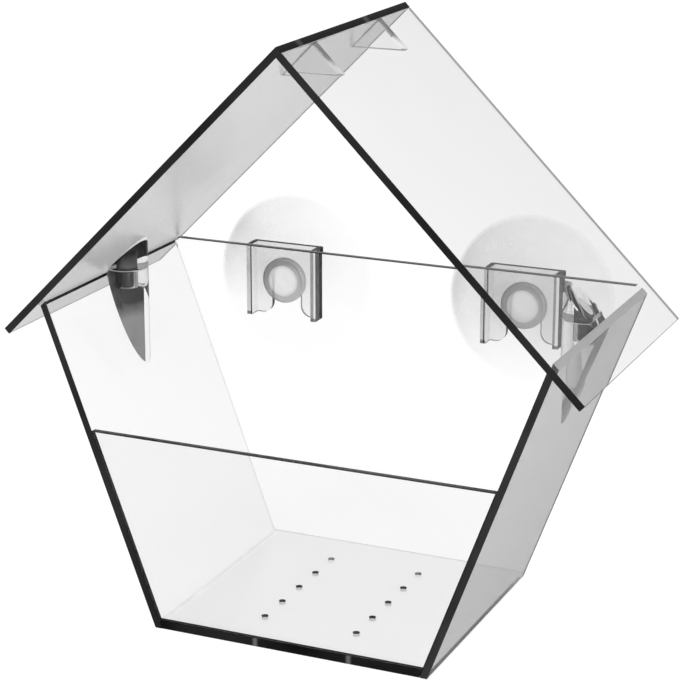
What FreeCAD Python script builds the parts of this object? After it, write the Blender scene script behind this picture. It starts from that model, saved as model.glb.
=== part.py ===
import FreeCAD, Part
import math
import os

# Window bird feeder: a clear acrylic house that hangs on a window pane by two suction cups.
# Millimetres, +Z up. The window pane is the plane Y = 0 and the feeder stands off it towards -Y.
# The origin lies on the pane, midway between the centres of the two cups.

os.makedirs("parts", exist_ok=True)
V = FreeCAD.Vector

# House: the floor is thicker, all other panels are cut from one thickness of sheet
SHEET = 2.5
FLOOR_SHEET = 3.0
BASE_WIDTH = 99.6        # over both walls, at the floor's underside
EAVE_WIDTH = 180.5       # over both walls, at their outer top corners
EAVE_HEIGHT = 109.0      # from the floor's underside to those corners
DEPTH = 93.0             # from the walls' front edges to their back edges
FRONT_HEIGHT = 67.5      # top edge of the front panel
RIM_RISE = 3.0           # back panel, brackets and lower posts end this far above those corners
ROOF_CLEAR = 0.3         # the roof rests on the walls alone and clears everything else by this

# Drain holes in the floor, two rows
DRAIN_DIA = 2.0
DRAIN_ROW_X = 17.0
DRAIN_PITCH = 13.75
DRAIN_COUNT = 5

# Roof
ROOF_SLOPE = 45.0
EAVE_OVERHANG = 13.4     # past the walls' outer top corners, down the slope
ROOF_OVERHANG = 5.0      # past the walls, at the front and at the back
GUSSET_LEG = 14.0
GUSSET_THICK = 4.0
GUSSET_SPACING = 52.0    # between the two gussets' middles

# Posts in the eave corners: a rod cut at the rim, one half on the wall and one on the roof
ROD_DIA = 15.0
ROD_INSET = 5.0          # rod's axis from the inner corner of wall and roof
SPLIT_GAP = 0.3
DOWEL_DIA = 4.8
DOWEL_FIT = 0.1          # radial room in the socket
DOWEL_BOND = 0.03        # radial glue line in the upper post
SOCKET_SKIN = 0.3        # least rod left between the socket and the side panel
SOCKET_END = 0.4         # room under the dowel

# Hanger brackets on the back panel
BRACKET_WIDTH = 27.5
BRACKET_HEIGHT = 26.5
BRACKET_DEPTH = 6.7
BRACKET_WALL = 2.0
BRACKET_ROUND = 0.8
SLOT_WIDTH = 11.5
SLOT_MOUTH = 4.0         # radius that opens the slot's lower end

# Suction cups
CUP_X = 45.5
CUP_DROP = 13.0          # cup centre below the rim
CUP_DIA = 60.0
CUP_RIM_FLAT = 1.5
CUP_RIM_THICK = 0.9
CUP_CROWN = 3.4          # depth of the hollow behind the disc
CUP_HUB_DIA = 19.0
CUP_HUB_RISE = 0.5
CUP_SHOULDER = 2.2       # how far the disc's front bulges past a straight cone
HEAD_DIA = 16.6
HEAD_FACE_DIA = 15.0
HEAD_EDGE = 1.9          # straight edge of the head
NECK_CLEAR = 0.5         # neck to slot, all round
CUP_CLEAR = 0.3          # head and disc to the bracket plate
HEAD_TO_PANEL = 1.7
DISC_TO_WINDOW = 6.5     # from the disc's front at the neck to the pane

# Levels that follow from the sizes above
RIM_HEIGHT = EAVE_HEIGHT + RIM_RISE
BRACKET_BACK = DEPTH + BRACKET_DEPTH
WINDOW_Y = BRACKET_BACK + CUP_CLEAR + DISC_TO_WINDOW
CUP_Z = RIM_HEIGHT - CUP_DROP
MID_Y = DEPTH / 2
SLOPE = math.radians(ROOF_SLOPE)
RUN_X = math.cos(SLOPE)
RUN_Z = math.sin(SLOPE)
ROOF_RUN = EAVE_WIDTH / 2 / RUN_X + EAVE_OVERHANG
APEX_Z = EAVE_HEIGHT + EAVE_WIDTH / 2 * math.tan(SLOPE)
LEAN = math.atan2((EAVE_WIDTH - BASE_WIDTH) / 2, EAVE_HEIGHT)


def inner_x(z):
    """Half-width between the walls' inner faces at height z."""
    return BASE_WIDTH / 2 - SHEET / math.cos(LEAN) + z * math.tan(LEAN)


def under_roof_z(x, clear=0.0):
    """Height of the roof's underside at x, less a clearance square to the roof."""
    return APEX_Z - abs(x) * math.tan(SLOPE) - clear / RUN_X


def crease(clear=0.0):
    """Where the wall's inner face meets the roof's underside, or a plane set below it."""
    foot = inner_x(0.0)
    z = (under_roof_z(foot, clear)) / (1 + math.tan(LEAN) * math.tan(SLOPE))
    return inner_x(z), z


ROD_X = crease()[0] - ROD_INSET
SOCKET_DIA = DOWEL_DIA + 2 * DOWEL_FIT
SOCKET_Z = (ROD_X + SOCKET_DIA / 2 + SOCKET_SKIN - inner_x(0.0)) / math.tan(LEAN)


def slab(outline, y0, y1):
    """Solid with an outline in X and Z, from y0 to y1."""
    points = [V(x, y0, z) for x, z in outline]
    face = Part.Face(Part.makePolygon(points + points[:1]))
    return face.extrude(V(0, y1 - y0, 0))


def rod(x, y, dia, z0, z1):
    return Part.makeCylinder(dia / 2, z1 - z0, V(x, y, z0), V(0, 0, 1))


def flip(outline, side):
    return [(side * x, z) for x, z in outline]


def wall(side):
    """Leaning side panel, its top edge mitred to the roof."""
    in_x, in_z = crease()
    outline = [
        (BASE_WIDTH / 2, 0.0),
        (EAVE_WIDTH / 2, EAVE_HEIGHT),
        (in_x, in_z),
        (inner_x(0.0), 0.0),
    ]
    return slab(flip(outline, side), 0.0, DEPTH)


def floor():
    """Bottom panel between the walls, drilled so that rain drains away."""
    outline = [
        (-inner_x(0.0), 0.0),
        (inner_x(0.0), 0.0),
        (inner_x(FLOOR_SHEET), FLOOR_SHEET),
        (-inner_x(FLOOR_SHEET), FLOOR_SHEET),
    ]
    panel = slab(outline, 0.0, DEPTH)
    for row in (-1, 1):
        for i in range(DRAIN_COUNT):
            y = MID_Y + (i - (DRAIN_COUNT - 1) / 2) * DRAIN_PITCH
            panel = panel.cut(rod(row * DRAIN_ROW_X, y, DRAIN_DIA, -1.0, FLOOR_SHEET + 1.0))
    return panel


def cross_panel(height, y0):
    """Panel that stands on the floor between the walls, its top corners trimmed to the roof."""
    in_x, in_z = crease(ROOF_CLEAR)
    foot = (inner_x(FLOOR_SHEET), FLOOR_SHEET)
    if height <= in_z:
        half = [foot, (inner_x(height), height)]
    else:
        trim_x = (APEX_Z - ROOF_CLEAR / RUN_X - height) / math.tan(SLOPE)
        half = [foot, (in_x, in_z), (trim_x, height)]
    outline = half + [(-x, z) for x, z in reversed(half)]
    return slab(outline, y0, y0 + SHEET)


def roof_panels():
    """Two panels at the ridge: the left one runs through, the right one butts under it."""
    apex = (0.0, APEX_Z)
    # the left underside goes on past the inner ridge line to the right panel's outer face
    reach = SHEET / math.sin(2 * SLOPE)
    through = (reach * RUN_X, APEX_Z + reach * RUN_Z)
    top = (0.0, APEX_Z + SHEET / RUN_X)
    left = [
        (-ROOF_RUN * RUN_X, APEX_Z - ROOF_RUN * RUN_Z),
        through,
        top,
        (-ROOF_RUN * RUN_X - SHEET * RUN_Z, APEX_Z - ROOF_RUN * RUN_Z + SHEET * RUN_X),
    ]
    right = [
        apex,
        through,
        (ROOF_RUN * RUN_X + SHEET * RUN_Z, APEX_Z - ROOF_RUN * RUN_Z + SHEET * RUN_X),
        (ROOF_RUN * RUN_X, APEX_Z - ROOF_RUN * RUN_Z),
    ]
    y0 = -ROOF_OVERHANG
    y1 = DEPTH + ROOF_OVERHANG
    return slab(left, y0, y1), slab(right, y0, y1)


def gusset(y):
    """Triangle glued into the ridge, square to it."""
    outline = [
        (0.0, APEX_Z),
        (GUSSET_LEG * RUN_X, APEX_Z - GUSSET_LEG * RUN_Z),
        (-GUSSET_LEG * RUN_X, APEX_Z - GUSSET_LEG * RUN_Z),
    ]
    return slab(outline, y - GUSSET_THICK / 2, y + GUSSET_THICK / 2)


def rod_zone(outline, side):
    return slab(flip(outline, side), MID_Y - ROD_DIA, MID_Y + ROD_DIA)


def lower_post(side):
    """Lower half of the rod: cut to the wall's slope, drilled for the dowel."""
    inside = ROD_X - ROD_DIA
    in_x, in_z = crease(ROOF_CLEAR)
    trim_x = (APEX_Z - ROOF_CLEAR / RUN_X - RIM_HEIGHT) / math.tan(SLOPE)
    low_z = (inside - inner_x(0.0)) / math.tan(LEAN)
    outline = [(inside, low_z), (in_x, in_z), (trim_x, RIM_HEIGHT), (inside, RIM_HEIGHT)]
    post = rod(side * ROD_X, MID_Y, ROD_DIA, low_z, RIM_HEIGHT).common(rod_zone(outline, side))
    return post.cut(rod(side * ROD_X, MID_Y, SOCKET_DIA, SOCKET_Z, RIM_HEIGHT + 1.0))


def over_rim(side, dia, low_z):
    """Upright rod from low_z up to the roof's underside."""
    inside = ROD_X - ROD_DIA
    edge = (APEX_Z - low_z) / math.tan(SLOPE)
    outline = [(inside, low_z), (edge, low_z), (inside, under_roof_z(inside))]
    return rod(side * ROD_X, MID_Y, dia, low_z, under_roof_z(inside)).common(rod_zone(outline, side))


def upper_post(side):
    """Upper half of the rod: cut to the roof's slope, bored for the dowel."""
    low_z = RIM_HEIGHT + SPLIT_GAP
    post = over_rim(side, ROD_DIA, low_z)
    return post.cut(rod(side * ROD_X, MID_Y, DOWEL_DIA + 2 * DOWEL_BOND, low_z - 1.0, APEX_Z))


def dowel(side):
    """Pin glued into the upper post, its top cut off with the rod, its end in the socket."""
    return over_rim(side, DOWEL_DIA, SOCKET_Z + SOCKET_END)


def bracket(side):
    """Moulded channel on the back panel, with a slot that drops over the cup's neck."""
    x0 = side * CUP_X - BRACKET_WIDTH / 2
    low_z = RIM_HEIGHT - BRACKET_HEIGHT
    body = Part.makeBox(BRACKET_WIDTH, BRACKET_DEPTH, BRACKET_HEIGHT, V(x0, DEPTH, low_z))
    corners = []
    for edge in body.Edges:
        ends = edge.BoundBox
        if ends.ZLength > BRACKET_HEIGHT / 2 and ends.YMin > DEPTH + BRACKET_DEPTH / 2:
            corners.append(edge)
    body = body.makeFillet(BRACKET_ROUND, corners)
    channel = Part.makeBox(
        BRACKET_WIDTH - 2 * BRACKET_WALL,
        BRACKET_DEPTH - BRACKET_WALL + 1.0,
        BRACKET_HEIGHT + 2.0,
        V(x0 + BRACKET_WALL, DEPTH - 1.0, low_z - 1.0),
    )
    body = body.cut(channel)
    # slot outline: round top over the neck, straight sides, mouth rounded outwards
    half = SLOT_WIDTH / 2
    cx = side * CUP_X
    y = BRACKET_BACK - BRACKET_WALL - 1.0
    turn = SLOT_MOUTH * (1 - math.sqrt(0.5))

    def at(x, z):
        return V(cx + x, y, z)

    mouth_z = low_z + SLOT_MOUTH
    edges = [
        Part.makeLine(at(-half - SLOT_MOUTH, low_z), at(-half - SLOT_MOUTH, low_z - 1.0)),
        Part.makeLine(at(-half - SLOT_MOUTH, low_z - 1.0), at(half + SLOT_MOUTH, low_z - 1.0)),
        Part.makeLine(at(half + SLOT_MOUTH, low_z - 1.0), at(half + SLOT_MOUTH, low_z)),
        Part.Arc(
            at(half + SLOT_MOUTH, low_z), at(half + turn, low_z + turn), at(half, mouth_z)
        ).toShape(),
        Part.makeLine(at(half, mouth_z), at(half, CUP_Z)),
        Part.Arc(at(half, CUP_Z), at(0.0, CUP_Z + half), at(-half, CUP_Z)).toShape(),
        Part.makeLine(at(-half, CUP_Z), at(-half, mouth_z)),
        Part.Arc(
            at(-half, mouth_z), at(-half - turn, low_z + turn), at(-half - SLOT_MOUTH, low_z)
        ).toShape(),
    ]
    slot = Part.Face(Part.Wire(Part.__sortEdges__(edges))).extrude(V(0, BRACKET_WALL + 2.0, 0))
    return body.cut(slot)


def suction_cup(side):
    """Soft moulded cup: domed button head, neck in the slot, shallow disc on the pane."""
    head_y = DEPTH + HEAD_TO_PANEL
    seat_y = BRACKET_BACK - BRACKET_WALL - CUP_CLEAR
    disc_y = BRACKET_BACK + CUP_CLEAR
    neck = SLOT_WIDTH / 2 - NECK_CLEAR
    face = HEAD_FACE_DIA / 2
    head = HEAD_DIA / 2
    hub = CUP_HUB_DIA / 2
    rim = CUP_DIA / 2
    seal = rim - CUP_RIM_FLAT
    cx = side * CUP_X

    def at(r, y):
        return V(cx + r, y, CUP_Z)

    edge_y = seat_y - HEAD_EDGE
    dome_r = face + (head - face) * math.sqrt(0.5)
    dome_y = edge_y - (edge_y - head_y) * math.sqrt(0.5)
    hub_y = disc_y + CUP_HUB_RISE
    rim_y = WINDOW_Y - CUP_RIM_THICK
    mid_r = (hub + rim) / 2
    mid_y = (hub_y + rim_y) / 2 - CUP_SHOULDER / 2
    edges = [
        Part.makeLine(at(0, head_y), at(face, head_y)),
        Part.Arc(at(face, head_y), at(dome_r, dome_y), at(head, edge_y)).toShape(),
        Part.makeLine(at(head, edge_y), at(head, seat_y)),
        Part.makeLine(at(head, seat_y), at(neck, seat_y)),
        Part.makeLine(at(neck, seat_y), at(neck, disc_y)),
        Part.makeLine(at(neck, disc_y), at(hub, hub_y)),
        Part.Arc(at(hub, hub_y), at(mid_r, mid_y), at(rim, rim_y)).toShape(),
        Part.makeLine(at(rim, rim_y), at(rim, WINDOW_Y)),
        Part.makeLine(at(rim, WINDOW_Y), at(0, WINDOW_Y)),
        Part.makeLine(at(0, WINDOW_Y), at(0, head_y)),
    ]
    profile = Part.Face(Part.Wire(Part.__sortEdges__(edges)))
    cup = profile.revolve(V(cx, 0, CUP_Z), V(0, 1, 0), 360)
    # the hollow is a shallow spherical cap inside the flat sealing rim
    ball = (seal * seal + CUP_CROWN * CUP_CROWN) / (2 * CUP_CROWN)
    return cup.cut(Part.makeSphere(ball, V(cx, WINDOW_Y - CUP_CROWN + ball, CUP_Z)))


def save(name, shape):
    """Move from the floor's front edge to the shared origin on the pane, and write the node."""
    shape = shape.copy()
    shape.translate(V(0, -WINDOW_Y, -CUP_Z))
    shape.exportStep("parts/" + name + ".step")


roof_left, roof_right = roof_panels()
save("floor", floor())
save("front_panel", cross_panel(FRONT_HEIGHT, 0.0))
save("back_panel", cross_panel(RIM_HEIGHT, DEPTH - SHEET))
save("roof_left_panel", roof_left)
save("roof_right_panel", roof_right)
save("ridge_gusset_front", gusset(MID_Y - GUSSET_SPACING / 2))
save("ridge_gusset_rear", gusset(MID_Y + GUSSET_SPACING / 2))
for word, side in (("left", -1), ("right", 1)):
    save(word + "_wall", wall(side))
    save(word + "_lower_post", lower_post(side))
    save(word + "_upper_post", upper_post(side))
    save(word + "_dowel", dowel(side))
    save(word + "_bracket", bracket(side))
    save(word + "_suction_cup", suction_cup(side))
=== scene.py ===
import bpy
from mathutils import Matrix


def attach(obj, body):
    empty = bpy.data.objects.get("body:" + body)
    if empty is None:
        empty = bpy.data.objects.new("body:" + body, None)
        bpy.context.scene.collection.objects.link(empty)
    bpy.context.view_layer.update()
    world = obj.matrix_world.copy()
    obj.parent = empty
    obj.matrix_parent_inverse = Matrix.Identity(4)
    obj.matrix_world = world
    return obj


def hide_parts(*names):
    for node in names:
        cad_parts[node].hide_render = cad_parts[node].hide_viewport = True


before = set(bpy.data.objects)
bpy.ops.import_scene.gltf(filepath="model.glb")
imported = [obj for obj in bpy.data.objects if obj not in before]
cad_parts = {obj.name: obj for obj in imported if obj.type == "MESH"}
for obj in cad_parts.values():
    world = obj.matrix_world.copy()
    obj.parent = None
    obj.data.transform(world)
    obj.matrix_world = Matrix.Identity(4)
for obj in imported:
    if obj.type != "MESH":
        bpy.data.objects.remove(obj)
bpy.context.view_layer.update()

import math
import bmesh
import bpy
import numpy as np
from mathutils import Vector
from mathutils.geometry import tessellate_polygon


# Floor: the bottom panel between the two walls, laser cut from 3 mm clear cast acrylic.
# Its sides are slanted to the walls' lean, two rows of drain holes are drilled through it,
# and it is solvent cemented to the walls and to the front and back panels.

SHEET = 2.5
FLOOR_SHEET = 3.0
BASE_WIDTH = 99.6
EAVE_WIDTH = 180.5
EAVE_HEIGHT = 109.0
DEPTH = 93.0
WINDOW_Y = 106.5
CUP_Z = 99.0
EDGE_ROUND = 0.22
DRAIN_DIA = 2.0
DRAIN_ROW_X = 17.0
DRAIN_PITCH = 13.75
DRAIN_COUNT = 5
LEAN = math.atan2((EAVE_WIDTH - BASE_WIDTH) / 2, EAVE_HEIGHT)
MM = 0.001


def inner_x(z):
    """Half-width between the walls' inner faces, which grows with height by the lean's tangent."""
    return BASE_WIDTH / 2 - SHEET / math.cos(LEAN) + z * math.tan(LEAN)


def metres(points):
    """House millimetres, from the floor's underside at its front edge, to the shared frame."""
    return (np.asarray(points, float) - (0.0, WINDOW_Y, CUP_Z)) * MM


def linear(hex_colour):
    """sRGB hex to linear RGBA by the sRGB curve."""
    srgb = np.array([int(hex_colour[i:i + 2], 16) for i in (1, 3, 5)]) / 255
    low, high = srgb / 12.92, ((srgb + 0.055) / 1.055) ** 2.4
    return (*np.where(srgb <= 0.04045, low, high).tolist(), 1.0)


def add(tree, kind, inputs=(), **settings):
    """Adds a node, sets its properties, then gives each input a value or a link."""
    node = tree.nodes.new(kind)
    for key, value in settings.items():
        setattr(node, key, value)
    for key, value in dict(inputs).items():
        if isinstance(value, bpy.types.NodeSocket):
            tree.links.new(value, node.inputs[key])
        else:
            node.inputs[key].default_value = value
    return node


def new_material(name):
    """An empty material and its node tree."""
    material = bpy.data.materials.new(name)
    material.use_nodes = True
    material.node_tree.nodes.clear()
    return material, material.node_tree


def show(tree, shader):
    """Makes a shader the material's surface."""
    add(tree, "ShaderNodeOutputMaterial", {"Surface": shader.outputs[0]})


def along(tree, axis):
    """The piece's own coordinate along one axis, in metres."""
    place = add(tree, "ShaderNodeTexCoord")
    return add(tree, "ShaderNodeSeparateXYZ", {0: place.outputs["Object"]}).outputs[axis]


def noise(tree, size_mm, detail):
    """Soft noise in the piece's own coordinates, with features of about that many millimetres."""
    place = add(tree, "ShaderNodeTexCoord")
    return add(tree, "ShaderNodeTexNoise", {"Vector": place.outputs["Object"],
               "Scale": 1000 / size_mm, "Detail": detail}).outputs["Fac"]


def mapped(tree, value, source, target=(0.0, 1.0), **settings):
    """A value carried over from one range to another and held at its ends."""
    return add(tree, "ShaderNodeMapRange", {"Value": value, 1: source[0], 2: source[1],
               3: target[0], 4: target[1]}, **settings).outputs[0]


def blend(tree, share, first, second):
    """The colour that has the given share of the second one."""
    return add(tree, "ShaderNodeMixRGB",
               {"Fac": share, "Color1": first, "Color2": second}).outputs[0]


def mix(tree, share, first, second):
    """The shader that has the given share of the second one."""
    return add(tree, "ShaderNodeMixShader",
               {0: share, 1: first.outputs[0], 2: second.outputs[0]})


def glass_clear(tree, tint="#ffffff"):
    """Lets all light straight through, or dims it to a tint."""
    return add(tree, "ShaderNodeBsdfTransparent", {"Color": linear(tint)})


ACRYLIC_IOR = 1.49
# most of the soft noise lies between these two values
NOISE_SPAN = (0.3, 0.7)


def clear_plastic(name, mirror, tint, haze_mm, rough, ior=ACRYLIC_IOR):
    """Clear plastic: refraction and a mirror share the light by Fresnel; lamps shine through.

    mirror is the colour of its reflections, tint what one surface lets through. A soft noise
    haze_mm across varies the mirror's roughness between the two values in rough.
    """
    material, tree = new_material(name)
    polish = mapped(tree, noise(tree, haze_mm, 3.0), NOISE_SPAN, rough)
    inside = add(tree, "ShaderNodeBsdfRefraction",
                 {"Color": linear(tint), "Roughness": 0.0, "IOR": ior})
    gloss = add(tree, "ShaderNodeBsdfGlossy", {"Color": linear(mirror), "Roughness": polish})
    share = add(tree, "ShaderNodeFresnel", {"IOR": ior})
    body = mix(tree, share.outputs[0], inside, gloss)
    path = add(tree, "ShaderNodeLightPath")
    lamps = add(tree, "ShaderNodeMath", {0: path.outputs["Is Shadow Ray"],
                1: path.outputs["Is Diffuse Ray"]}, operation="MAXIMUM")
    show(tree, mix(tree, lamps.outputs[0], body, glass_clear(tree, tint)))
    return material


# Cast acrylic sheet, as it comes from its protective film: dead flat and clear, with soft gloss.
# Painted reflections: the faces that look into the house mirror a paler grey, the outer ones a darker
# one.
acrylic_inside = clear_plastic("acrylic_sheet_inner_face", "#c6c6c6", "#fefefe", 18.0, (0.16, 0.24))
acrylic_outside = clear_plastic("acrylic_sheet_outer_face", "#949494", "#fefefe", 18.0, (0.01, 0.05))


def dim_lamps(tree, shader, tint):
    """Shows a shader that dims the lamps' light to a tint without stopping it."""
    path = add(tree, "ShaderNodeLightPath")
    show(tree, mix(tree, path.outputs["Is Shadow Ray"], shader, glass_clear(tree, tint)))


def cut_edge(name, inside, tones=("#040404", "#222222"), gloss=0.18, axis="X", glows=()):
    """Laser-cut edge: dark and glossy from outside, the dark painted as shade, with fine marks of the
    cut.

    Seen from within the clear sheet only the share in inside stays painted dark, and the rest shows
    through. tones are its darkest and palest painted stretches, and glows lists pale spots painted as
    highlights, in house millimetres, each with its reach and share, where something clear behind the
    edge would light it up; only the distance along the named axis counts.
    """
    material, tree = new_material(name)
    drift = mapped(tree, noise(tree, 35.0, 3.0), (0.35, 0.65))
    tone = blend(tree, drift, linear(tones[0]), linear(tones[1]))
    # painted highlights: pale spots blended into the edge's tone
    for spot, reach, share in glows:
        off = add(tree, "ShaderNodeMath", {0: along(tree, axis),
                  1: metres(spot)["XYZ".index(axis)]}, operation="SUBTRACT")
        off = add(tree, "ShaderNodeMath", {0: off.outputs[0]}, operation="ABSOLUTE")
        glow = mapped(tree, off.outputs[0], (0.0, reach * MM), (share, 0.0),
                      interpolation_type="SMOOTHSTEP")
        tone = blend(tree, glow, tone, linear("#7e7e7e"))
    # cutter marks about 0.7 mm apart, drawn as coarse as they need to be to show
    polish = mapped(tree, noise(tree, 0.7, 2.0), NOISE_SPAN, (0.12, 0.3))
    outer = add(tree, "ShaderNodeBsdfPrincipled", {"Base Color": tone, "Roughness": polish,
                "IOR": ACRYLIC_IOR, "Specular IOR Level": gloss})
    within = mix(tree, inside, glass_clear(tree), outer)
    side = add(tree, "ShaderNodeNewGeometry")
    dim_lamps(tree, mix(tree, side.outputs["Backfacing"], outer, within), "#ececec")
    return material


# Bare edges, painted dark as shade, that show pale, grey or dark when they are looked at through their
# own sheet.
acrylic_edge = cut_edge("acrylic_laser_cut_edge", 0.09)
acrylic_edge_grey = cut_edge("acrylic_laser_cut_edge_half_deep", 0.65)
acrylic_edge_dark = cut_edge("acrylic_laser_cut_edge_deep", 1.0)


def seam():
    """Cemented edge: the sheets run together in it, and only a faint grey cloud shows."""
    material, tree = new_material("acrylic_solvent_seam")
    grey = mapped(tree, noise(tree, 9.0, 3.0), NOISE_SPAN, (0.0, 0.05))
    dull = add(tree, "ShaderNodeBsdfDiffuse", {"Color": linear("#9a9a9a")})
    show(tree, mix(tree, grey, glass_clear(tree), dull))
    return material


acrylic_seam = seam()


def piece(name, points, faces, slots, materials, node, body, flat=(), crisp=40.0, fields=()):
    """A mesh from house millimetres that stands for a CAD node and moves with its body.

    slots has each face's material number. Faces of the materials in flat are shaded flat, the
    others smooth, with an edge kept crisp where it turns by more than that many degrees. fields
    names values at each point, such as how dense the piece is there, for its material to read.
    """
    mesh = bpy.data.meshes.new(name)
    mesh.from_pydata(metres(points).tolist(), [], [list(f) for f in faces])
    for field, values in dict(fields).items():
        mesh.attributes.new(field, "FLOAT", "POINT").data.foreach_set("value", values)
    for material in materials:
        mesh.materials.append(material)
    slots = np.asarray(slots, np.int32)
    mesh.polygons.foreach_set("material_index", slots)
    form = bmesh.new()
    form.from_mesh(mesh)
    bmesh.ops.remove_doubles(form, verts=form.verts, dist=1e-7)
    bmesh.ops.dissolve_degenerate(form, edges=form.edges, dist=1e-8)
    form.to_mesh(mesh)
    form.free()
    mesh.set_sharp_from_angle(angle=math.radians(crisp))
    slots = np.zeros(len(mesh.polygons), np.int32)
    mesh.polygons.foreach_get("material_index", slots)
    mesh.polygons.foreach_set("use_smooth", ~np.isin(slots, flat))
    thing = bpy.data.objects.new(name, mesh)
    bpy.context.scene.collection.objects.link(thing)
    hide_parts(node)
    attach(thing, body)


def filled(points, loops, facing):
    """Triangles that fill a flat face between loops of point numbers, turned to face one way."""
    number = np.concatenate(loops)
    fill = np.array(tessellate_polygon([[Vector(p) for p in points[loop]] for loop in loops]))
    fill = number[fill]
    one, two, three = (points[fill[:, i]] for i in range(3))
    wrong = (np.cross(two - one, three - one) @ np.asarray(facing, float)) < 0
    fill[wrong] = fill[wrong][:, ::-1]
    return fill.tolist()


def ring_strip(low, high, closed=True):
    """Quads between two rows of point numbers, low below high, that run the same way round."""
    if closed:
        low, high = np.append(low, low[0]), np.append(high, high[0])
    return np.stack([low[:-1], low[1:], high[1:], high[:-1]], -1).tolist()


def across(loop, up):
    """Step that moves a loop's corners into the material by one unit from both their edges."""
    run = np.roll(loop, -1, 0) - loop
    side = np.cross(up, run / np.linalg.norm(run, axis=1, keepdims=True))
    back = np.roll(side, 1, 0)
    return (side + back) / (1 + (side * back).sum(1, keepdims=True))


# every sheet stops this short of its outline, so that no two pieces share a face
JOINT = 0.02


def sheet_panel(name, low, high, faces_of, edges, node, body, holes=()):
    """Panel between matching outlines on its two faces: first the rim, then any holes.

    The edge's profile, a quarter round, a straight and a quarter round, is carried along each
    outline as rings of points, and the two faces are filled between the outermost rings. edges
    has the material of each side of the rim, such as a bare cut or a cemented seam, and holes
    that of each hole's wall.
    """
    kinds = [*faces_of, *dict.fromkeys((*holes, *edges))]
    edges = [kinds.index(kind, 2) for kind in edges]
    low, high = ([np.asarray(loop, float) for loop in loops] for loops in (low, high))
    rim = high[0]
    up = np.cross(rim - rim.mean(0), np.roll(rim, -1, 0) - rim.mean(0)).sum(0)
    up = up / np.linalg.norm(up)
    if up @ (rim.mean(0) - low[0].mean(0)) < 0:
        low, high = ([loop[::-1] for loop in loops] for loops in (low, high))
        edges = [edges[(-2 - i) % len(edges)] for i in range(len(edges))]
        up = -up
    turn = np.radians([0.0, 30.0, 60.0, 90.0])
    inward = EDGE_ROUND * (1 - np.sin(turn))[:, None, None]
    rise = EDGE_ROUND * (1 - np.cos(turn))[:, None, None]
    points, faces, slots = np.zeros((0, 3)), [], []
    bottom, top = [], []
    for a, b, hole in zip(low, high, (None, *holes)):
        a, b = a + JOINT * across(a, up), b + JOINT * across(b, up)
        depth = (b - a) / np.linalg.norm(b - a, axis=1, keepdims=True)
        under = a + inward * across(a, up) + rise * depth
        over = b + inward * across(b, up) - rise * depth
        rings = np.concatenate([under, over[::-1]])
        index = len(points) + np.arange(rings.shape[0] * len(a)).reshape(-1, len(a))
        points = np.concatenate([points, rings.reshape(-1, 3)])
        for ring, after in zip(index[:-1], index[1:]):
            faces += ring_strip(ring, after)
            slots += [kinds.index(hole)] * len(a) if hole else edges
        bottom.append(index[0])
        top.append(index[-1])
    for kind, (loops, facing) in enumerate(((bottom, -up), (top, up))):
        cap = filled(points, loops, facing)
        faces += cap
        slots += [kind] * len(cap)
    piece(name, points, faces, slots, kinds, node, body, flat=(0, 1))


def rectangle(x, y0, y1, z):
    """Level rectangle about the middle, from its front left corner."""
    return np.array([(-x, y0, z), (x, y0, z), (x, y1, z), (-x, y1, z)])


drain_turn = -np.linspace(0, 2 * np.pi, 24, endpoint=False)
drain_y = DEPTH / 2 + (np.arange(DRAIN_COUNT) - (DRAIN_COUNT - 1) / 2) * DRAIN_PITCH


def drains(z):
    """Circles of the drain holes at height z, run the other way round from the rim."""
    ring = DRAIN_DIA / 2 * np.stack([np.cos(drain_turn), np.sin(drain_turn), 0 * drain_turn], 1)
    return [ring + (x, y, z) for x in (-DRAIN_ROW_X, DRAIN_ROW_X) for y in drain_y]


# The nearest drain of each row is painted on the clear front edge as a pale spot, a painted highlight.
DRAIN_GLOW_X = 5.0
floor_edge = cut_edge("acrylic_laser_cut_floor_edge", 0.06, gloss=0.04, glows=[
    ((x + DRAIN_GLOW_X, 0.0, 0.0), 1.4, 0.7) for x in (-DRAIN_ROW_X, DRAIN_ROW_X)])
# the drains' walls are painted dark as shade in the holes
drain_wall = cut_edge("acrylic_drilled_drain", 0.35, ("#1c1c1c", "#343434"), 0.05)
# the rearmost drain of each row is painted paler
pale_drain = cut_edge("acrylic_drilled_pale_drain", 0.2, ("#707070", "#9a9a9a"), 0.05)
sheet_panel("floor_sheet",
            [rectangle(inner_x(0.0), 0.0, DEPTH, 0.0)] + drains(0.0),
            [rectangle(inner_x(FLOOR_SHEET), 0.0, DEPTH, FLOOR_SHEET)] + drains(FLOOR_SHEET),
            (acrylic_inside, acrylic_inside), (floor_edge, acrylic_seam, acrylic_edge, acrylic_seam),
            "floor", "house", 2 * (*[drain_wall] * (DRAIN_COUNT - 1), pale_drain))


# Front and back panels: trapezoids of the 2.5 mm sheet, cemented onto the floor and between the
# walls. The front one is a low lip that keeps the seed in; the back one reaches the brackets' top,
# with its upper corners trimmed to clear the roof.

FRONT_HEIGHT = 67.5
RIM_HEIGHT = 112.0
ROOF_CLEAR = 0.3
APEX_Z = EAVE_HEIGHT + EAVE_WIDTH / 2
ROOT2 = math.sqrt(2)


def crease(clear=0.0):
    """Where the wall's inner face meets the roof's underside, or a plane that far below it."""
    z = (APEX_Z - clear * ROOT2 - inner_x(0.0)) / (1 + math.tan(LEAN))
    return inner_x(z), z


def upright(half, y):
    """Outline in the plane y, mirrored about the middle, from its right half going up."""
    right = np.array([(x, y, z) for x, z in half])
    return np.concatenate([right, (right * (-1, 1, 1))[::-1]])


front_half = [(inner_x(FLOOR_SHEET), FLOOR_SHEET), (inner_x(FRONT_HEIGHT), FRONT_HEIGHT)]
back_half = [(inner_x(FLOOR_SHEET), FLOOR_SHEET), crease(ROOF_CLEAR),
             (APEX_Z - ROOF_CLEAR * ROOT2 - RIM_HEIGHT, RIM_HEIGHT)]
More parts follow.
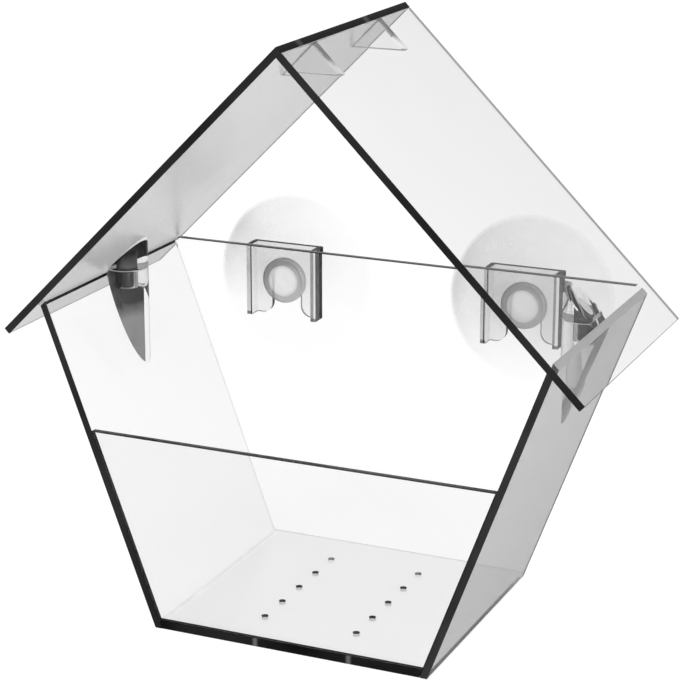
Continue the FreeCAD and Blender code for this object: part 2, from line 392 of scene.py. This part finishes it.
# a cut painted dark as shade, which stays dark also when it is looked at through its own sheet
acrylic_edge_dull = cut_edge("acrylic_laser_cut_edge_dull", 1.0, ("#040404", "#161616"), 0.02)
sheet_panel("front_sheet", [upright(front_half, SHEET)], [upright(front_half, 0.0)],
            (acrylic_inside, acrylic_outside),
            (acrylic_edge_dull, acrylic_edge, acrylic_edge_dull, acrylic_edge_dull),
            "front_panel", "house")
sheet_panel("back_sheet", [upright(back_half, DEPTH - SHEET)], [upright(back_half, DEPTH)],
            (acrylic_inside, acrylic_outside),
            (acrylic_seam, acrylic_seam, acrylic_edge, acrylic_edge, acrylic_seam, acrylic_seam),
            "back_panel", "house")


# Side walls: rectangles of the same sheet that lean outwards, cemented to the floor and to the front
# and back panels. The top edge is mitred to the roof's slope, so that the loose roof sits flat on
# it; the mitre is sawn and left with its frost.


def sawn_mitre():
    """Saw-cut edge: pale frost from outside, while from within the sheet it is painted black as shade.
    """
    material, tree = new_material("acrylic_sawn_mitre")
    # saw marks about 0.8 mm apart
    pale = blend(tree, noise(tree, 0.8, 2.0), linear("#a0a0a0"), linear("#c4c4c4"))
    side = add(tree, "ShaderNodeNewGeometry")
    tone = blend(tree, side.outputs["Backfacing"], pale, linear("#040404"))
    show(tree, add(tree, "ShaderNodeBsdfPrincipled", {"Base Color": tone, "Roughness": 0.6,
                   "IOR": ACRYLIC_IOR, "Specular IOR Level": 0.15}))
    return material


mitre = sawn_mitre()


def leaning(x0, x1, z0, z1, side):
    """Rectangle on one face of a wall, between two heights of its slope."""
    return np.array([(side * x0, 0.0, z0), (side * x1, 0.0, z1),
                     (side * x1, DEPTH, z1), (side * x0, DEPTH, z0)])


# The left wall's inner face is given a darker painted reflection than the other inner faces, and the
# right one's front edge is painted the paler of the two.
wall_inside = clear_plastic("acrylic_sheet_wall_face", "#949494", "#fefefe", 18.0, (0.16, 0.24))
right_front = cut_edge("acrylic_laser_cut_edge_pale", 0.06, ("#101010", "#343434"))
for word, side, inside, front, back, foot in (
        ("left", -1, wall_inside, acrylic_edge, acrylic_edge, acrylic_seam),
        ("right", 1, acrylic_inside, right_front, acrylic_edge_dull, acrylic_edge_dark)):
    top_x, top_z = crease()
    sheet_panel(word + "_wall_sheet",
                [leaning(inner_x(0.0), top_x, 0.0, top_z, side)],
                [leaning(BASE_WIDTH / 2, EAVE_WIDTH / 2, 0.0, EAVE_HEIGHT, side)],
                (inside, acrylic_outside), (front, mitre, back, foot),
                word + "_wall", "house")


# Roof panels: two pieces of the same sheet at 45 degrees, cemented to each other and resting loose
# on the walls. The left one runs through to the ridge, so its cut end shows as the ridge band,
# painted dark as shade; the right one butts under it.

EAVE_OVERHANG = 13.4
ROOF_OVERHANG = 5.0
ROOF_RUN = EAVE_WIDTH / 2 * ROOT2 + EAVE_OVERHANG
DIAG = 1 / ROOT2
GUSSET_SPACING = 52.0
GUSSET_GLOW = 10.5


def on_slope(side, run, lift):
    """Point of a roof panel's section: run down the slope from the inner ridge, lift off it."""
    return side * (run + lift) * DIAG, APEX_Z + (lift - run) * DIAG


def pitched(side, run0, run1, lift):
    """Rectangle at one lift above the roof's underside, between two runs down the slope."""
    (xa, za), (xb, zb) = on_slope(side, run0, lift), on_slope(side, run1, lift)
    y0, y1 = -ROOF_OVERHANG, DEPTH + ROOF_OVERHANG
    return np.array([(xa, y0, za), (xb, y0, zb), (xb, y1, zb), (xa, y1, za)])


# The ridge band is duller and painted darker than the other edges, as shade, with a pale spot painted
# as a highlight where each gusset stands behind.
ridge_band = cut_edge("acrylic_laser_cut_ridge_edge", 0.8, ("#020202", "#0e0e0e"), 0.02, "Y", [
    ((0.0, DEPTH / 2 + step * GUSSET_SPACING - GUSSET_GLOW, 0.0), 3.0, 0.25) for step in (-0.5, 0.5)])
sheet_panel("roof_left_sheet", [pitched(-1, -SHEET, ROOF_RUN, 0.0)],
            [pitched(-1, -SHEET, ROOF_RUN, SHEET)],
            (acrylic_inside, acrylic_outside),
            (acrylic_edge, acrylic_edge_grey, acrylic_edge_dark, ridge_band), "roof_left_panel", "roof")
eave_edge = cut_edge("acrylic_laser_cut_eave_edge", 0.09, gloss=0.5)
sheet_panel("roof_right_sheet", [pitched(1, 0.0, ROOF_RUN, 0.0)],
            [pitched(1, 0.0, ROOF_RUN, SHEET)],
            (acrylic_inside, acrylic_outside),
            (acrylic_edge, eave_edge, acrylic_edge_grey, acrylic_seam), "roof_right_panel", "roof")


# Ridge gussets: two clear right-angled triangles of 4 mm sheet, cemented into the ridge to stiffen
# it. The cement is painted dark in the corner as shade and thins out down the legs; on the right legs
# it is painted white at the foot as a highlight.

GUSSET_LEG = 14.0
GUSSET_THICK = 4.0
# from the gusset's front face to where the cement starts at a leg's foot and at the ridge, and on
# to where it is full
CEMENT_FOOT = 1.8
CEMENT_RIDGE = -0.8
CEMENT_FADE = 2.2


def leg_joint(name, cover, ridge_tone, foot_tone):
    """Cemented leg: a share of cement whose tone, painted as light and shade, runs from the ridge down
    to the leg's foot.

    It thins out towards the gusset's front face, the more so the farther down the leg.
    """
    material, tree = new_material(name)
    apex, reach = metres((0.0, 0.0, APEX_Z))[2], GUSSET_LEG * DIAG * MM
    ridge = mapped(tree, along(tree, "Z"), (apex - 0.9 * reach, apex - 0.4 * reach),
                   interpolation_type="SMOOTHSTEP")
    tone = blend(tree, ridge, linear(foot_tone), linear(ridge_tone))
    # both gussets' thickness is laid on the front one's
    face = metres((0.0, (DEPTH - GUSSET_SPACING - GUSSET_THICK) / 2, 0.0))[1]
    within = add(tree, "ShaderNodeMath", {0: along(tree, "Y"), 1: face + GUSSET_SPACING * MM,
                 2: face}, operation="WRAP")
    start = mapped(tree, ridge, (0.0, 1.0), (face + CEMENT_FOOT * MM, face + CEMENT_RIDGE * MM))
    wet = add(tree, "ShaderNodeMath", {0: within.outputs[0], 1: start}, operation="SUBTRACT")
    share = mapped(tree, wet.outputs[0], (0.0, CEMENT_FADE * MM), (0.0, cover))
    glue_and_painted_light = add(tree, "ShaderNodeBsdfPrincipled",
               {"Base Color": tone, "Roughness": 0.4, "IOR": ACRYLIC_IOR})
    show(tree, mix(tree, share, glass_clear(tree), glue_and_painted_light))
    return material


# painted shade, darkest at the ridge; the right legs are painted white at the foot as a highlight
left_leg = leg_joint("solvent_cemented_left_leg_painted_shade", 0.55, "#1c1c1c", "#7a7a7a")
right_leg = leg_joint("solvent_cemented_right_leg_painted_shade_and_highlight", 0.85, "#3c3c3c", "#ffffff")


def triangle(y):
    """A gusset's outline in the plane y: the ridge's corner and the feet of its two legs."""
    reach = GUSSET_LEG * DIAG
    return np.array([(reach, y, APEX_Z - reach), (0.0, y, APEX_Z), (-reach, y, APEX_Z - reach)])


for word, step in (("front", -0.5), ("rear", 0.5)):
    y = DEPTH / 2 + step * GUSSET_SPACING
    sheet_panel("gusset_" + word, [triangle(y + GUSSET_THICK / 2)], [triangle(y - GUSSET_THICK / 2)],
                (acrylic_inside, acrylic_inside), (right_leg, left_leg, acrylic_inside),
                "ridge_gusset_" + word, "roof")


# Lower posts: half of a 15 mm clear acrylic rod in each eave corner, cut to the wall's lean and
# cemented to it, its top just short of the roof, with a drilled socket for the roof's dowel.

ROD_DIA = 15.0
ROD_INSET = 5.0
ROD_X = crease()[0] - ROD_INSET
MID_Y = DEPTH / 2
SOCKET_DIA = 5.0
SOCKET_SKIN = 0.3
SOCKET_Z = (ROD_X + SOCKET_DIA / 2 + SOCKET_SKIN - inner_x(0.0)) / math.tan(LEAN)
SIDES = (("left", -1), ("right", 1))

# Extruded acrylic rod: clear and glossy with a faint haze.
acrylic_rod = clear_plastic("acrylic_rod_polished", "#a8a8a8", "#fcfcfc", 6.0, (0.01, 0.05))


def cement(name, low, high, low_z, high_z, blot_mm, hidden=False):
    """Cemented face: from a tone at one height to another's, with the blots of a solvent joint.

    A hidden one shows only through the rod, and from outside it is clear.
    """
    material, tree = new_material(name)
    blots = mapped(tree, noise(tree, blot_mm, 4.0), NOISE_SPAN, (-0.15, 0.15))
    height = mapped(tree, along(tree, "Z"), metres([(0, 0, low_z), (0, 0, high_z)])[:, 2])
    share = add(tree, "ShaderNodeMath", {0: height, 1: blots}, use_clamp=True)
    tone = blend(tree, share.outputs[0], linear(low), linear(high))
    glue_and_painted_light = add(tree, "ShaderNodeBsdfPrincipled", {"Base Color": tone, "Roughness": 0.4,
               "IOR": ACRYLIC_IOR, "Specular IOR Level": 0.05})
    front = glue_and_painted_light
    if hidden:
        front = add(tree, "ShaderNodeBsdfRefraction",
                    {"Color": linear("#fcfcfc"), "Roughness": 0.0, "IOR": ACRYLIC_IOR})
    side = add(tree, "ShaderNodeNewGeometry")
    dim_lamps(tree, mix(tree, side.outputs["Backfacing"], front, glue_and_painted_light), "#d0d0d0")
    return material


# painted shade: the wall joint is painted darker towards the top
wall_joint = cement("solvent_cemented_wall_joint_painted_shade", "#8f8f8f", "#3c3c3c", 94.0, 99.5, 5.0)


def sawn_face():
    """Sawn or drilled end: a white frost that lets some light through."""
    material, tree = new_material("acrylic_sawn_frost")
    cover = mapped(tree, noise(tree, 0.6, 2.0), NOISE_SPAN, (0.6, 0.85))
    dull = add(tree, "ShaderNodeBsdfPrincipled",
               {"Base Color": linear("#f2f2f2"), "Roughness": 0.6, "IOR": ACRYLIC_IOR})
    show(tree, mix(tree, cover, glass_clear(tree), dull))
    return material


rod_end = sawn_face()
# The joint stays clear over its lower rear part, and along a thin border.
CLEAR_TURN = np.radians((71.6, 189.9))
BORDER = 0.3


def circle(radius, turn):
    """Places on a circle about the rod's axis, at the angles in turn."""
    return ROD_X + radius * np.cos(turn), MID_Y + radius * np.sin(turn)


def stack(x, y, z):
    """Points from their three coordinates, of which each may be one number for all."""
    return np.stack(np.broadcast_arrays(x, y, z), -1)


def grouped(*groups):
    """All the faces in one list, and the number of the group that each belongs to."""
    return sum(groups, []), np.repeat(range(len(groups)), [len(group) for group in groups])


def wall_height(x):
    """Height at which the wall's inner face, less the joint's gap, stands at x."""
    return (x + JOINT / math.cos(LEAN) - inner_x(0.0)) / math.tan(LEAN)


def lower_post():
    """Rod whose rows of points follow its angle: from the wall's slope up to the rim or roof.

    Where the wall and the roof's clearance meet, the two rows run together in one point.
    """
    radius = ROD_DIA / 2
    roof = APEX_Z - ROOF_CLEAR * ROOT2
    first = math.acos((crease(ROOF_CLEAR)[0] - ROD_X) / radius)
    second = math.acos((roof - RIM_HEIGHT - ROD_X) / radius)
    lead = np.linspace(first, second, 6)[:-1]
    turn = np.concatenate([lead, np.linspace(second, 2 * np.pi - second, 91), 2 * np.pi - lead[::-1]])
    x, y = circle(radius, turn)
    foot = stack(x, y, wall_height(x))
    head = stack(x, y, np.minimum(RIM_HEIGHT, roof - x))
    head[[0, -1]] = foot[[0, -1]]
    around = np.linspace(0, 2 * np.pi, 64, endpoint=False)
    hole_x, hole_y = circle(SOCKET_DIA / 2, around)
    points = np.concatenate([foot, head, stack(hole_x, hole_y, RIM_HEIGHT),
                             stack(hole_x, hole_y, SOCKET_Z)])
    n, k = len(turn), len(around)
    low, high = np.arange(n), n + np.arange(n)
    mouth, end = 2 * n + np.arange(k), 2 * n + k + np.arange(k)
    flat_top = high[len(lead):n - len(lead)]
    trim = np.concatenate([high[:len(lead) + 1], high[n - len(lead) - 1:]])
    lean = (math.cos(LEAN), 0.0, -math.sin(LEAN))
    skin = ring_strip(low, high, closed=False) + ring_strip(mouth, end)
    skin += filled(points, [trim], (1, 0, 1))
    sawn = filled(points, [flat_top, mouth], (0, 0, 1)) + filled(points, [end], (0, 0, 1))
    start, stop = np.searchsorted(turn, CLEAR_TURN)
    grey = np.concatenate([low[stop:], low[:start + 1]])
    inner = len(points) + np.arange(len(grey))
    near_x, near_y = circle(radius - BORDER, turn[grey])
    points = np.concatenate([points, stack(near_x, near_y, wall_height(near_x))])
    wet = filled(points, [low[start:stop + 1]], lean)
    wet += ring_strip(inner, grey)
    joint = filled(points, [inner], lean)
    return points, *grouped(skin, sawn, wet, joint)


def mirrored(points, faces, side):
    """The left twin of a right-hand piece: x changes sign and its faces are wound backwards."""
    if side > 0:
        return points, faces
    return points * (-1, 1, 1), [face[::-1] for face in faces]


for word, side in SIDES:
    points, faces, slots = lower_post()
    points, faces = mirrored(points, faces, side)
    piece(word + "_lower_rod", points, faces, slots, (acrylic_rod, rod_end, acrylic_seam, wall_joint),
          word + "_lower_post", "house")


# Upper posts and dowels: the rods' other halves, cut to 45 degrees, polished below and cemented
# under the roof. A turned pin of dark plastic is bonded through each and drops into the socket below.

SPLIT_GAP = 0.3
DOWEL_DIA = 4.8
BOND = 0.03
SOCKET_END = 0.4
PIN_CHAMFER = 0.4
ROOF_BORDER = 1.3

# painted shade: the roof joint is painted near black where it shows through the rod
roof_joint = cement("solvent_cemented_roof_joint_painted_shade", "#0c0c0c", "#060606", 112.5, 122.5, 3.0, hidden=True)
# the bond round the pin is greyer towards its open end
pin_bond = cement("solvent_cemented_pin_bond", "#565656", "#0c0c0c", 113.0, 118.0, 3.0)


def upper_post():
    """Rod between the split and the roof's slope, where both meet in a straight tip."""
    radius = ROD_DIA / 2
    low_z = RIM_HEIGHT + SPLIT_GAP
    roof = APEX_Z - JOINT * ROOT2
    first = math.acos((roof - low_z - ROD_X) / radius)
    turn = np.linspace(first, 2 * np.pi - first, 97)
    x, y = circle(radius, turn)
    foot = stack(x, y, low_z)
    head = stack(x, y, roof - x)
    head[[0, -1]] = foot[[0, -1]]
    around = np.linspace(0, 2 * np.pi, 64, endpoint=False)
    bore_x, bore_y = circle(DOWEL_DIA / 2 + BOND, around)
    points = np.concatenate([foot, head, stack(bore_x, bore_y, low_z),
                             stack(bore_x, bore_y, roof - bore_x)])
    n, k = len(turn), len(around)
    low, high = np.arange(n), n + np.arange(n)
    under, over = 2 * n + np.arange(k), 2 * n + k + np.arange(k)
    inner = len(points) + np.arange(n)
    near_x, near_y = circle(radius - ROOF_BORDER, turn)
    points = np.concatenate([points, stack(near_x, near_y, roof - near_x)])
    skin = ring_strip(low, high, closed=False) + filled(points, [low, under], (0, 0, -1))
    wet = ring_strip(high, inner)
    joint = filled(points, [inner, over], (1, 0, 1))
    return points, *grouped(skin, wet, joint, ring_strip(over, under))


def dowel_pin():
    """Round pin: rings from its chamfered end up to the slanted cut that it shares with the rod."""
    around = np.linspace(0, 2 * np.pi, 64, endpoint=False)
    end_z = SOCKET_Z + SOCKET_END
    radius = DOWEL_DIA / 2
    thin_x, thin_y = circle(radius - PIN_CHAMFER, around)
    x, y = circle(radius, around)
    points = np.concatenate([stack(thin_x, thin_y, end_z), stack(x, y, end_z + PIN_CHAMFER),
                             stack(x, y, APEX_Z - JOINT * ROOT2 - x)])
    rows = np.arange(3 * len(around)).reshape(3, -1)
    faces = ring_strip(rows[0], rows[1]) + ring_strip(rows[1], rows[2])
    faces += filled(points, [rows[0]], (0, 0, -1))
    return points, *grouped(faces, filled(points, [rows[2]], (1, 0, 1)))


def dyed_pin():
    """Dark dyed plastic turned on a lathe: fine rings along the pin, satin."""
    material, tree = new_material("dark_dyed_acetal_turned")
    place = add(tree, "ShaderNodeTexCoord")
    # turning rings about 1 mm apart: the wave repeats after a tenth of pi over its scale
    rings = add(tree, "ShaderNodeTexWave", {"Vector": place.outputs["Object"], "Scale": 318.47,
                "Distortion": 0.6, "Detail": 1.0}, bands_direction="Z")
    tone = blend(tree, rings.outputs["Fac"], linear("#0c0c0c"), linear("#1c1c1c"))
    show(tree, add(tree, "ShaderNodeBsdfPrincipled", {"Base Color": tone, "Roughness": 0.45,
                   "IOR": 1.48, "Specular IOR Level": 0.25}))
    return material


pin_plastic = dyed_pin()
for word, side in SIDES:
    points, faces, slots = upper_post()
    points, faces = mirrored(points, faces, side)
    piece(word + "_upper_rod", points, faces, slots, (acrylic_rod, acrylic_seam, roof_joint, pin_bond),
          word + "_upper_post", "roof")
    points, faces, slots = dowel_pin()
    points, faces = mirrored(points, faces, side)
    piece(word + "_pin", points, faces, slots, (pin_plastic, rod_end), word + "_dowel", "roof")


# Brackets: injection moulded clear channels cemented to the back panel. The plate at the back
# has a slot that drops over the cup's neck, with a mouth that widens at the bottom.

BRACKET_WIDTH = 27.5
BRACKET_HEIGHT = 26.5
BRACKET_DEPTH = 6.7
BRACKET_WALL = 2.0
BRACKET_ROUND = 0.8
SLOT_WIDTH = 11.5
SLOT_MOUTH = 4.0
CUP_X = 45.5

# Clear styrene, glossy from the mould, with painted light: the left cheek is painted bright, the right
# one painted in shade, and the left one's foot is painted grey as shade.
bracket_faces = [clear_plastic("clear_styrene_" + word, mirror, tint, 4.0, (0.02, 0.08), 1.55)
                 for word, mirror, tint in (("moulding", "#a0a0a0", "#fafafa"),
                                            ("cheek", "#f4f4f4", "#fafafa"),
                                            ("shaded_cheek", "#5a5a5a", "#6e6e6e"),
                                            ("painted_shade_foot", "#a0a0a0", "#e0e0e0"))]


def bracket():
    """Channel: a U section carried up, its plate cut by the slot's outline.

    Rows of points follow the section at the bottom and the top. The slot's outline, arcs and
    straights in one row, is repeated on the plate's two faces and joined by a strip.
    """
    w, d, t, r = BRACKET_WIDTH / 2, BRACKET_DEPTH, BRACKET_WALL, BRACKET_ROUND
    z0, z1 = RIM_HEIGHT - BRACKET_HEIGHT, RIM_HEIGHT
    bend = np.linspace(0, np.pi / 2, 7)
    right_round = np.stack([w - r + r * np.cos(bend), d - r + r * np.sin(bend)], 1)
    left_round = (right_round * (-1, 1))[::-1]
    section = np.concatenate([[(w, 0.0)], right_round, left_round, [(-w, 0.0), (-w + t, 0.0),
                              (-w + t, d - t), (w - t, d - t), (w - t, 0.0)]])
    half = SLOT_WIDTH / 2
    quarter = np.linspace(0, np.pi / 2, 13)
    arch = np.linspace(0, np.pi, 33)
    mouth = np.stack([half + SLOT_MOUTH - SLOT_MOUTH * np.sin(quarter),
                      z0 + SLOT_MOUTH - SLOT_MOUTH * np.cos(quarter)], 1)
    top = np.stack([half * np.cos(arch), CUP_Z + half * np.sin(arch)], 1)
    slot = np.concatenate([mouth, top, (mouth * (-1, 1))[::-1]])
    n, k = len(section), len(slot)
    at_y = DEPTH + np.maximum(section[:, 1], JOINT)
    points = np.concatenate([stack(section[:, 0], at_y, z0), stack(section[:, 0], at_y, z1),
                             stack(slot[:, 0], DEPTH + d, slot[:, 1]),
                             stack(slot[:, 0], DEPTH + d - t, slot[:, 1])])
    low, high = np.arange(n), n + np.arange(n)
    outer, inner = 2 * n + np.arange(k), 2 * n + k + np.arange(k)
    a, b = 7, 8                      # the plate's outer corners: ends of the two rounds
    c, e = n - 3, n - 2              # its inner corners, left and right
    cheeks = (b + 6, 0, b + 7)       # outer sides, left and right, and the left foot
    strip = ring_strip(low, high)
    walls = [face for i, face in enumerate(strip) if i not in (*cheeks, a, c)]
    back = np.concatenate([high[[a, b]], low[[b]], outer[::-1], low[[a]]])
    front = np.concatenate([high[[e, c]], low[[c]], inner[::-1], low[[e]]])
    plate = filled(points, [back], (0, 1, 0)) + filled(points, [front], (0, -1, 0))
    sides = ring_strip(inner, outer, closed=False)
    cap = filled(points, [high], (0, 0, 1))
    right = np.concatenate([low[:a + 1], outer[:1], inner[:1], low[e:]])
    left = np.concatenate([low[b:c + 1], inner[-1:], outer[-1:]])
    cap += filled(points, [right], (0, 0, -1)) + filled(points, [left], (0, 0, -1))
    return points, *grouped(walls + plate + sides + cap, *([strip[i]] for i in cheeks))


for word, side in SIDES:
    points, faces, slots = bracket()
    points = points + (side * CUP_X, 0.0, 0.0)
    piece(word + "_hanger", points, faces, slots, bracket_faces, word + "_bracket", "house")


# Suction cups: soft clear vinyl, moulded in one piece. A flat button head and a neck sit in the
# bracket's slot, and the wide thin disc with its hollow back holds on the window pane.

CUP_DIA = 60.0
CUP_RIM_FLAT = 1.5
CUP_RIM_THICK = 0.9
CUP_CROWN = 3.4
CUP_HUB_DIA = 19.0
CUP_HUB_RISE = 0.5
CUP_SHOULDER = 2.2
LIP_ROUND = 0.3
HEAD_DIA = 16.6
HEAD_FACE_DIA = 15.0
HEAD_EDGE = 1.9
HEAD_TO_PANEL = 1.7
NECK_CLEAR = 0.5
CUP_CLEAR = 0.3
BRACKET_BACK = DEPTH + BRACKET_DEPTH
# radii on the button's face: the end of its pale middle, then the ring round that
BUTTON_RINGS = (4.8, 5.0, 5.6, 5.85)


def soft_vinyl():
    """Soft clear vinyl with a satin skin: as solid as its bulk says, and as grey as its depth; the
    depth is painted shade, and so is the grading of the disc's bulk.
    """
    material, tree = new_material("soft_vinyl_moulded")
    drift = mapped(tree, noise(tree, 12.0, 3.0), NOISE_SPAN, (0.85, 1.15))
    bulk = add(tree, "ShaderNodeAttribute", attribute_name="bulk")
    body = add(tree, "ShaderNodeMath", {0: drift, 1: bulk.outputs["Fac"]}, operation="MULTIPLY",
               use_clamp=True)
    depth = add(tree, "ShaderNodeAttribute", attribute_name="depth")
    tone = blend(tree, depth.outputs["Fac"], linear("#f0f0f0"), linear("#868686"))
    skin = add(tree, "ShaderNodeBsdfPrincipled", {"Base Color": tone, "Roughness": 0.4, "IOR": 1.53})
    show(tree, mix(tree, body.outputs[0], glass_clear(tree, "#fefefe"), skin))
    return material


vinyl = soft_vinyl()


def arc(start, middle, end, count):
    """Points on the circle through three points of a flat section."""
    (ax, ay), (bx, by), (cx, cy) = start, middle, end
    m = 2 * np.array([[bx - ax, by - ay], [cx - ax, cy - ay]])
    v = np.array([bx * bx - ax * ax + by * by - ay * ay, cx * cx - ax * ax + cy * cy - ay * ay])
    centre = np.linalg.solve(m, v)
    radius = math.hypot(ax - centre[0], ay - centre[1])
    angles = np.unwrap([math.atan2(p[1] - centre[1], p[0] - centre[0]) for p in (start, middle, end)])
    sweep = np.linspace(angles[0], angles[2], count)
    return centre + radius * np.stack([np.cos(sweep), np.sin(sweep)], 1)


def suction_cup(side_shade, drop):
    """A section of radius and depth turned about the cup's axis: rows along it, columns round it.

    The first argument has how much painted shade greys the disc's left and right sides, and drop is
    how far below its middle, as a share of its radius, that painted shade ends.
    """
    head_y, disc_y = DEPTH + HEAD_TO_PANEL, BRACKET_BACK + CUP_CLEAR
    seat_y = BRACKET_BACK - BRACKET_WALL - CUP_CLEAR
    face, head, neck = HEAD_FACE_DIA / 2, HEAD_DIA / 2, SLOT_WIDTH / 2 - NECK_CLEAR
    hub, rim = CUP_HUB_DIA / 2, CUP_DIA / 2
    seal = rim - CUP_RIM_FLAT
    edge_y, hub_y, rim_y = seat_y - HEAD_EDGE, disc_y + CUP_HUB_RISE, WINDOW_Y - CUP_RIM_THICK
    dome = arc((face, head_y), (face + (head - face) * DIAG, edge_y - (edge_y - head_y) * DIAG),
               (head, edge_y), 13)
    bulge = ((hub + rim) / 2, (hub_y + rim_y - CUP_SHOULDER) / 2)
    disc = arc((hub, hub_y), bulge, (rim, rim_y), 33)
    curl = LIP_ROUND * (1 - DIAG)
    lip = arc((rim, WINDOW_Y - LIP_ROUND), (rim - curl, WINDOW_Y - curl),
              (rim - LIP_ROUND, WINDOW_Y), 4)
    hollow = arc((seal, WINDOW_Y), (seal * DIAG, WINDOW_Y - CUP_CROWN / 2),
                 (0.0, WINDOW_Y - CUP_CROWN), 25)
    step = [(head, seat_y - LIP_ROUND), (head - LIP_ROUND, seat_y), (neck, seat_y), (neck, disc_y)]
    button = [(r, head_y) for r in (0.0, *BUTTON_RINGS)]
    section = np.concatenate([button, dome, step, disc, lip, hollow])
    solid = len(button) + len(dome)
    # the disc thins out towards its rim, so that the rim fades into the glass
    thinning = np.interp(disc[:, 0], (hub, rim - 7.0, rim - 1.8, rim), (0.34, 0.28, 0.38, 0.05))
    bulk = np.concatenate([np.interp(section[:solid, 0], BUTTON_RINGS[:2], (0.7, 0.8)),
                           [0.8, 0.6, 0.3, 0.3], thinning, np.full(len(lip), 0.05),
                           np.linspace(0.08, 0.14, len(hollow))])
    around = np.linspace(0, 2 * np.pi, 128, endpoint=False)
    # the head is painted dark near its edge as shade, less so in a ring inside that, and pale in the
    # middle
    depth = np.interp(section[:, :1], BUTTON_RINGS, (0.0, 0.35, 0.35, 1.0))
    # the painted shade is darker towards the upper left
    depth = depth * (0.88 + 0.14 * (np.sin(around) - np.cos(around)))
    depth[solid + 2:] = 0.3
    radius, y = section[:, :1], section[:, 1:]
    points = stack(radius * np.cos(around), y, CUP_Z + radius * np.sin(around))
    rows = np.arange(len(section) * len(around)).reshape(len(section), -1)
    after = np.roll(rows, -1, 1)
    faces = np.stack([rows[:-1], rows[1:], after[1:], after[:-1]], -1)
    # the disc's grey is painted shade, greyest above its middle and to the left, and clear below
    height = (points[..., 2] - CUP_Z) / rim
    painted_shade = np.interp(height, (-drop, 0.5, 1.0), (0.0, 1.0, 0.65))
    painted_shade *= np.interp(points[..., 0], (-rim, rim), side_shade)
    painted_shade[:solid] = 1.0
    fields = {"bulk": (bulk[:, None] * painted_shade).ravel(), "depth": depth.ravel()}
    return points.reshape(-1, 3), faces.reshape(-1, 4).tolist(), fields


for word, side, side_shade, drop in (("left", -1, (1.7, 0.35), 0.4), ("right", 1, (1.6, 0.5), 1.0)):
    points, faces, fields = suction_cup(side_shade, drop)
    points = points + (side * CUP_X, 0.0, 0.0)
    piece(word + "_cup", points, faces, [0] * len(faces), (vinyl,), word + "_suction_cup",
          word + "_cup", fields=fields)


# Stage: a sheet of white paper under the feeder in a white room, lit by two soft boxes, and the
# photograph's camera.

FLOOR_GAP = 0.0002
FLOOR_HALF = 6.0
AIM = Vector((0.0, -0.06, 0.0))
floor_mesh = bpy.data.meshes.new("studio_floor")
floor_mesh.from_pydata((rectangle(FLOOR_HALF, -FLOOR_HALF, FLOOR_HALF, 0.0)
                        - (0.0, 0.0, CUP_Z * MM + FLOOR_GAP)).tolist(), [], [(0, 1, 2, 3)])
studio_floor = bpy.data.objects.new("studio_floor", floor_mesh)
bpy.context.scene.collection.objects.link(studio_floor)


def looked_at(tree):
    """One where the camera, a mirror or a clear sheet looks, and nought for light on the object."""
    path = add(tree, "ShaderNodeLightPath")
    either = add(tree, "ShaderNodeMath", {0: path.outputs["Is Camera Ray"],
                 1: path.outputs["Is Glossy Ray"]}, operation="MAXIMUM")
    return add(tree, "ShaderNodeMath", {0: either.outputs[0],
               1: path.outputs["Is Transmission Ray"]}, operation="MAXIMUM").outputs[0]


def white_paper():
    """Matt white paper, brightened to plain white where it is looked at."""
    material, tree = new_material("white_paper_sweep")
    matt = add(tree, "ShaderNodeBsdfDiffuse", {"Color": linear("#d0d0d0")})
    glow = add(tree, "ShaderNodeEmission", {"Color": (1, 1, 1, 1), "Strength": 0.69})
    bright = add(tree, "ShaderNodeAddShader", {0: matt.outputs[0], 1: glow.outputs[0]})
    show(tree, mix(tree, looked_at(tree), matt, bright))
    return material


floor_mesh.materials.append(white_paper())

world = bpy.data.worlds.new("white_room")
bpy.context.scene.world = world
world.use_nodes = True
world_tree = world.node_tree
world_tree.nodes.clear()
power = mapped(world_tree, looked_at(world_tree), (0.0, 1.0), (0.32, 1.0))
air = add(world_tree, "ShaderNodeBackground", {"Color": (1, 1, 1, 1), "Strength": power})
add(world_tree, "ShaderNodeOutputWorld", {"Surface": air.outputs[0]})


def soft_box(name, spot, size, watts):
    """Round soft lamp at a spot, turned to the feeder's middle."""
    lamp = bpy.data.lights.new(name, "AREA")
    lamp.shape = "DISK"
    lamp.size = size
    lamp.energy = watts
    thing = bpy.data.objects.new(name, lamp)
    thing.location = spot
    thing.rotation_euler = (AIM - Vector(spot)).to_track_quat("-Z", "Y").to_euler()
    bpy.context.scene.collection.objects.link(thing)


# the key stands far off, so that it lights the whole floor alike
soft_box("key_box", (38.0, -30.0, 9.0), 16.0, 20000.0)
soft_box("fill_box", (-0.4, -1.0, 2.6), 1.4, 16.0)

# the camera, fitted to the corners that can be picked out in the photograph
AZIMUTH = math.radians(23.95)
ELEVATION = math.radians(16.625)
DISTANCE = 0.7487
TARGET = Vector((0.0, -0.06, 0.000875))
FOCAL_PX = 2222.2
CENTRE_PX = (344.43, 327.31)
IMAGE_PX = 680
SENSOR_MM = 36.0
camera = bpy.data.cameras.new("photo_camera")
camera.sensor_width = SENSOR_MM
camera.lens = SENSOR_MM * FOCAL_PX / IMAGE_PX
camera.shift_x = (IMAGE_PX / 2 - CENTRE_PX[0]) / IMAGE_PX
camera.shift_y = (CENTRE_PX[1] - IMAGE_PX / 2) / IMAGE_PX
camera.clip_start = 0.01
viewer = bpy.data.objects.new("photo_camera", camera)
away = Vector((math.sin(AZIMUTH) * math.cos(ELEVATION),
               -math.cos(AZIMUTH) * math.cos(ELEVATION), math.sin(ELEVATION)))
viewer.location = TARGET + away * DISTANCE
viewer.rotation_euler = away.to_track_quat("Z", "Y").to_euler()
bpy.context.scene.collection.objects.link(viewer)
bpy.context.scene.camera = viewer
bpy.context.scene.view_settings.view_transform = "Standard"
